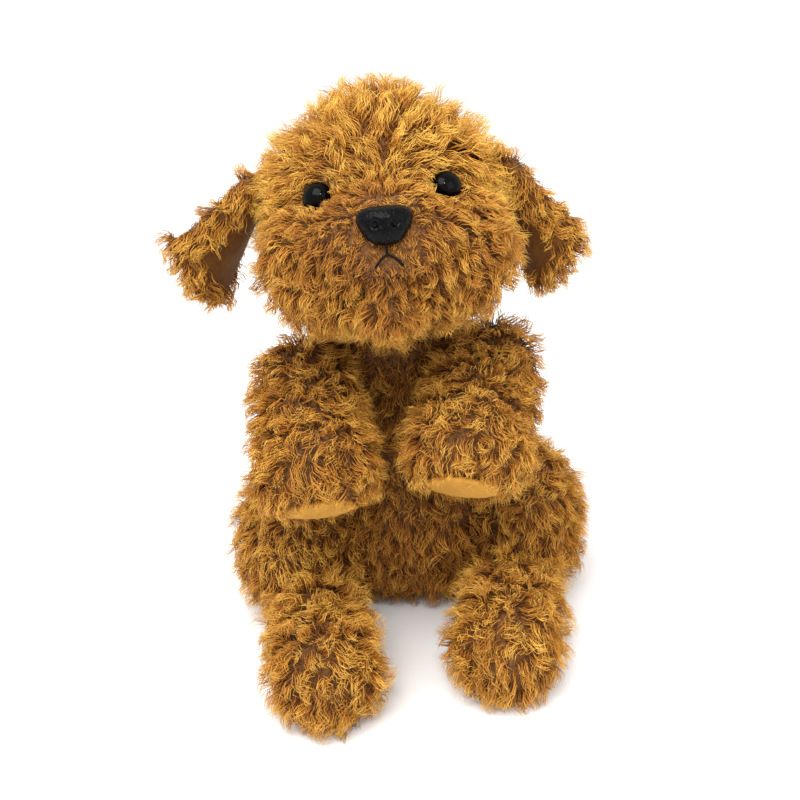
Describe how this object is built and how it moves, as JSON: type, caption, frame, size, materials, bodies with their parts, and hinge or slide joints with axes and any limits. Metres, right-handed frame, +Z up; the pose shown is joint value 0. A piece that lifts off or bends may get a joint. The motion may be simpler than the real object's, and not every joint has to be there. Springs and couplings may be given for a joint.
{
  "type": "plush dog",
  "caption": "Sitting plush puppy with long curly pile, glossy eyes and nose, floppy lined ears, short front legs with paw pads, and a soft stuffed body.",
  "frame": {"origin": "middle of the flat patch under the rump, where the toy sits on its surface", "axes": "+Z up, the dog faces -Y, +X is the dog's left"},
  "size_m": [0.1726, 0.2065, 0.225],
  "materials": {
    "fur": "long curly plush pile, golden brown",
    "fur_dark": "long curly plush pile, darker brown",
    "ear_lining": "short-nap velour, dark brown",
    "pad": "short-nap velour, tan",
    "filling": "polyester fibre filling",
    "eye_plastic": "gloss black moulded plastic",
    "washer": "natural white moulded plastic",
    "thread": "black embroidery thread",
    "calico": "plain woven cotton bag of plastic pellets"
  },
  "bodies": {
    "torso": {"torso_filling": "filling", "pellet_bag": "calico", "back_panel_left": "fur", "back_panel_right": "fur", "belly_panel": "fur_dark", "seat_panel": "fur_dark"},
    "neck": {"neck_plug": "filling"},
    "head": {"head_filling": "filling", "head_gusset": "fur", "head_side_left": "fur", "head_side_right": "fur", "muzzle_panel": "fur", "chin_panel": "fur", "eye_left": "eye_plastic", "eye_right": "eye_plastic", "eye_washer_left": "washer", "eye_washer_right": "washer", "nose": "eye_plastic", "nose_washer": "washer", "mouth_stitching": "thread"},
    "ear_left": {"ear_fur_left": "fur", "ear_lining_left": "ear_lining"},
    "arm_left": {"arm_filling_left": "filling", "arm_outer_left": "fur", "arm_inner_left": "fur", "paw_pad_left": "pad"},
    "leg_left": {"leg_filling_left": "filling", "leg_outer_left": "fur", "leg_inner_left": "fur", "sole_pad_left": "pad"},
    "ear_right": {"ear_fur_right": "fur", "ear_lining_right": "ear_lining"},
    "arm_right": {"arm_filling_right": "filling", "arm_outer_right": "fur", "arm_inner_right": "fur", "paw_pad_right": "pad"},
    "leg_right": {"leg_filling_right": "filling", "leg_outer_right": "fur", "leg_inner_right": "fur", "sole_pad_right": "pad"},
    "tail": {"tail_filling": "filling", "tail_cover": "fur"}
  },
  "joints": [
    {"name": "neck_turn", "type": "hinge", "parent": "torso", "child": "neck", "pos_m": [0, 0.004, 0.138], "axis": [0, 0, 1], "range_deg": [-30, 30], "stiffness_Nm_per_rad": 0.6},
    {"name": "head_nod", "type": "hinge", "parent": "neck", "child": "head", "pos_m": [0, 0.004, 0.138], "axis": [1, 0, 0], "range_deg": [-12, 8], "stiffness_Nm_per_rad": 3},
    {"name": "ear_left_flap", "type": "hinge", "parent": "head", "child": "ear_left", "pos_m": [0.044, 0.00426, 0.19428], "axis": [0.1515, -0.9881, 0.0254], "range_deg": [-9, 41], "stiffness_Nm_per_rad": 0.02},
    {"name": "ear_right_flap", "type": "hinge", "parent": "head", "child": "ear_right", "pos_m": [-0.044, 0.00426, 0.19428], "axis": [0.2363, 0.9695, -0.0655], "range_deg": [-22, 28], "stiffness_Nm_per_rad": 0.02},
    {"name": "arm_left_swing", "type": "hinge", "parent": "torso", "child": "arm_left", "pos_m": [0.0395, -0.005, 0.107], "axis": [-1, 0, 0], "range_deg": [-6, 25], "stiffness_Nm_per_rad": 0.3},
    {"name": "arm_right_swing", "type": "hinge", "parent": "torso", "child": "arm_right", "pos_m": [-0.0395, -0.005, 0.107], "axis": [-1, 0, 0], "range_deg": [-6, 25], "stiffness_Nm_per_rad": 0.3},
    {"name": "leg_left_lift", "type": "hinge", "parent": "torso", "child": "leg_left", "pos_m": [0.047, -0.002, 0.031], "axis": [-1, 0, 0], "range_deg": [0, 30], "stiffness_Nm_per_rad": 0.3},
    {"name": "leg_right_lift", "type": "hinge", "parent": "torso", "child": "leg_right", "pos_m": [-0.047, -0.008, 0.031], "axis": [-0.9976, 0.0698, 0], "range_deg": [0, 30], "stiffness_Nm_per_rad": 0.3},
    {"name": "tail_wag", "type": "hinge", "parent": "torso", "child": "tail", "pos_m": [0, 0.058, 0.034], "axis": [0, 0, 1], "range_deg": [-30, 30], "stiffness_Nm_per_rad": 0.02}
  ]
}
